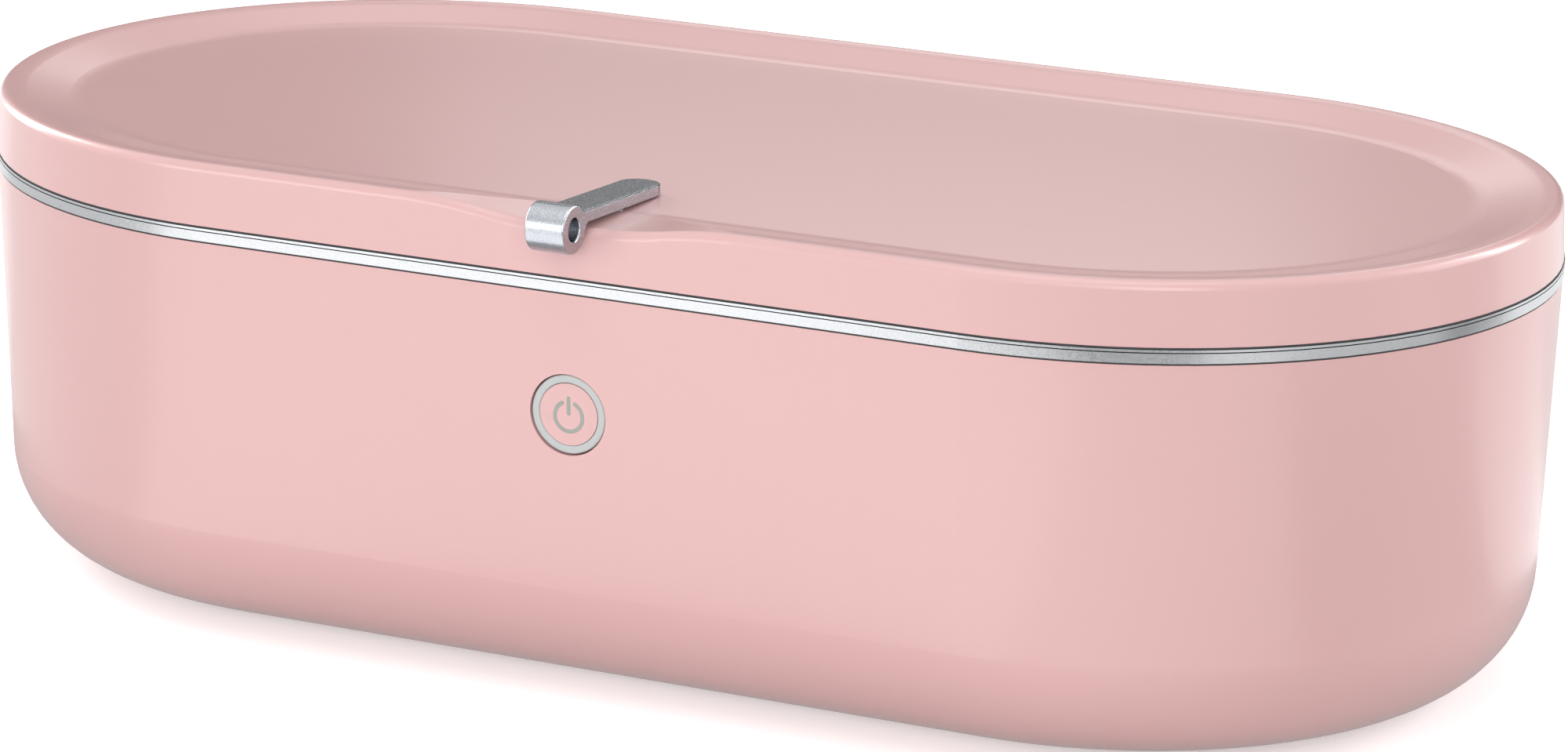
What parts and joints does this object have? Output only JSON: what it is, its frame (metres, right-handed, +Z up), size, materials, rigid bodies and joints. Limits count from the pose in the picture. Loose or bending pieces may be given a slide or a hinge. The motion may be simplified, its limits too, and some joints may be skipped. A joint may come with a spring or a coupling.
{
  "type": "uv sterilizer box",
  "caption": "Obround tabletop UV-C sterilizer box: pink drafted tub and hinged lid with sunk top, silver band and pull tab, front push button, mirror-lined chamber.",
  "frame": {"origin": "on the ground under the feet, below the middle of the box", "axes": "+X along the box to the right seen from the front, -Y to the front with the button, +Z up"},
  "size_m": [0.244, 0.1377, 0.0751],
  "materials": {
    "pink_plastic": "satin",
    "silver_metal": "fine satin",
    "mirror_liner": "polished",
    "soft_rubber": "matte",
    "bright_steel": "bright",
    "clear_ring": "frosted",
    "quartz": "clear",
    "circuit_board": "satin",
    "white_plastic": "matte",
    "black_plastic": "matte",
    "lamp_package": "satin",
    "lead_sheath": "matte"
  },
  "bodies": {
    "base": {"base_shell": "pink_plastic", "base_frame": "silver_metal", "chamber_liner": "mirror_liner", "rubber_feet": "soft_rubber", "mouth_seal": "soft_rubber", "hinge_pin": "bright_steel", "case_screws": "bright_steel", "board_screws": "bright_steel", "switch_screws": "bright_steel", "usb_socket": "bright_steel", "front_uv_window": "quartz", "rear_uv_window": "quartz", "control_board": "circuit_board", "switch_board": "circuit_board", "front_led_board": "circuit_board", "rear_led_board": "circuit_board", "front_led_spacer": "white_plastic", "rear_led_spacer": "white_plastic", "wire_headers": "white_plastic", "board_components": "black_plastic", "switch_body": "black_plastic", "lid_sensor": "black_plastic", "front_uv_leds": "lamp_package", "rear_uv_leds": "lamp_package", "indicator_leds": "lamp_package", "front_lead": "lead_sheath", "front_led_lead": "lead_sheath", "rear_led_lead": "lead_sheath", "sensor_lead": "lead_sheath"},
    "lid": {"lid_shell": "pink_plastic", "lid_frame": "silver_metal", "lid_mirror": "mirror_liner", "lid_screws": "bright_steel", "pull_tab": "silver_metal", "tab_screws": "bright_steel", "sensor_magnet": "bright_steel"},
    "button": {"button_ring": "clear_ring", "button_face": "pink_plastic", "switch_plunger": "black_plastic"}
  },
  "joints": [
    {"name": "lid_hinge", "type": "hinge", "parent": "base", "child": "lid", "pos_m": [0, 0.0656, 0.06288], "axis": [-1, 0, 0], "range_deg": [0, 100]},
    {"name": "button_press", "type": "slide", "parent": "base", "child": "button", "axis": [0, 0.9993, 0.0372], "range_m": [0, 0.0005], "stiffness_N_per_m": 2500, "springref_m": -0.0003}
  ]
}
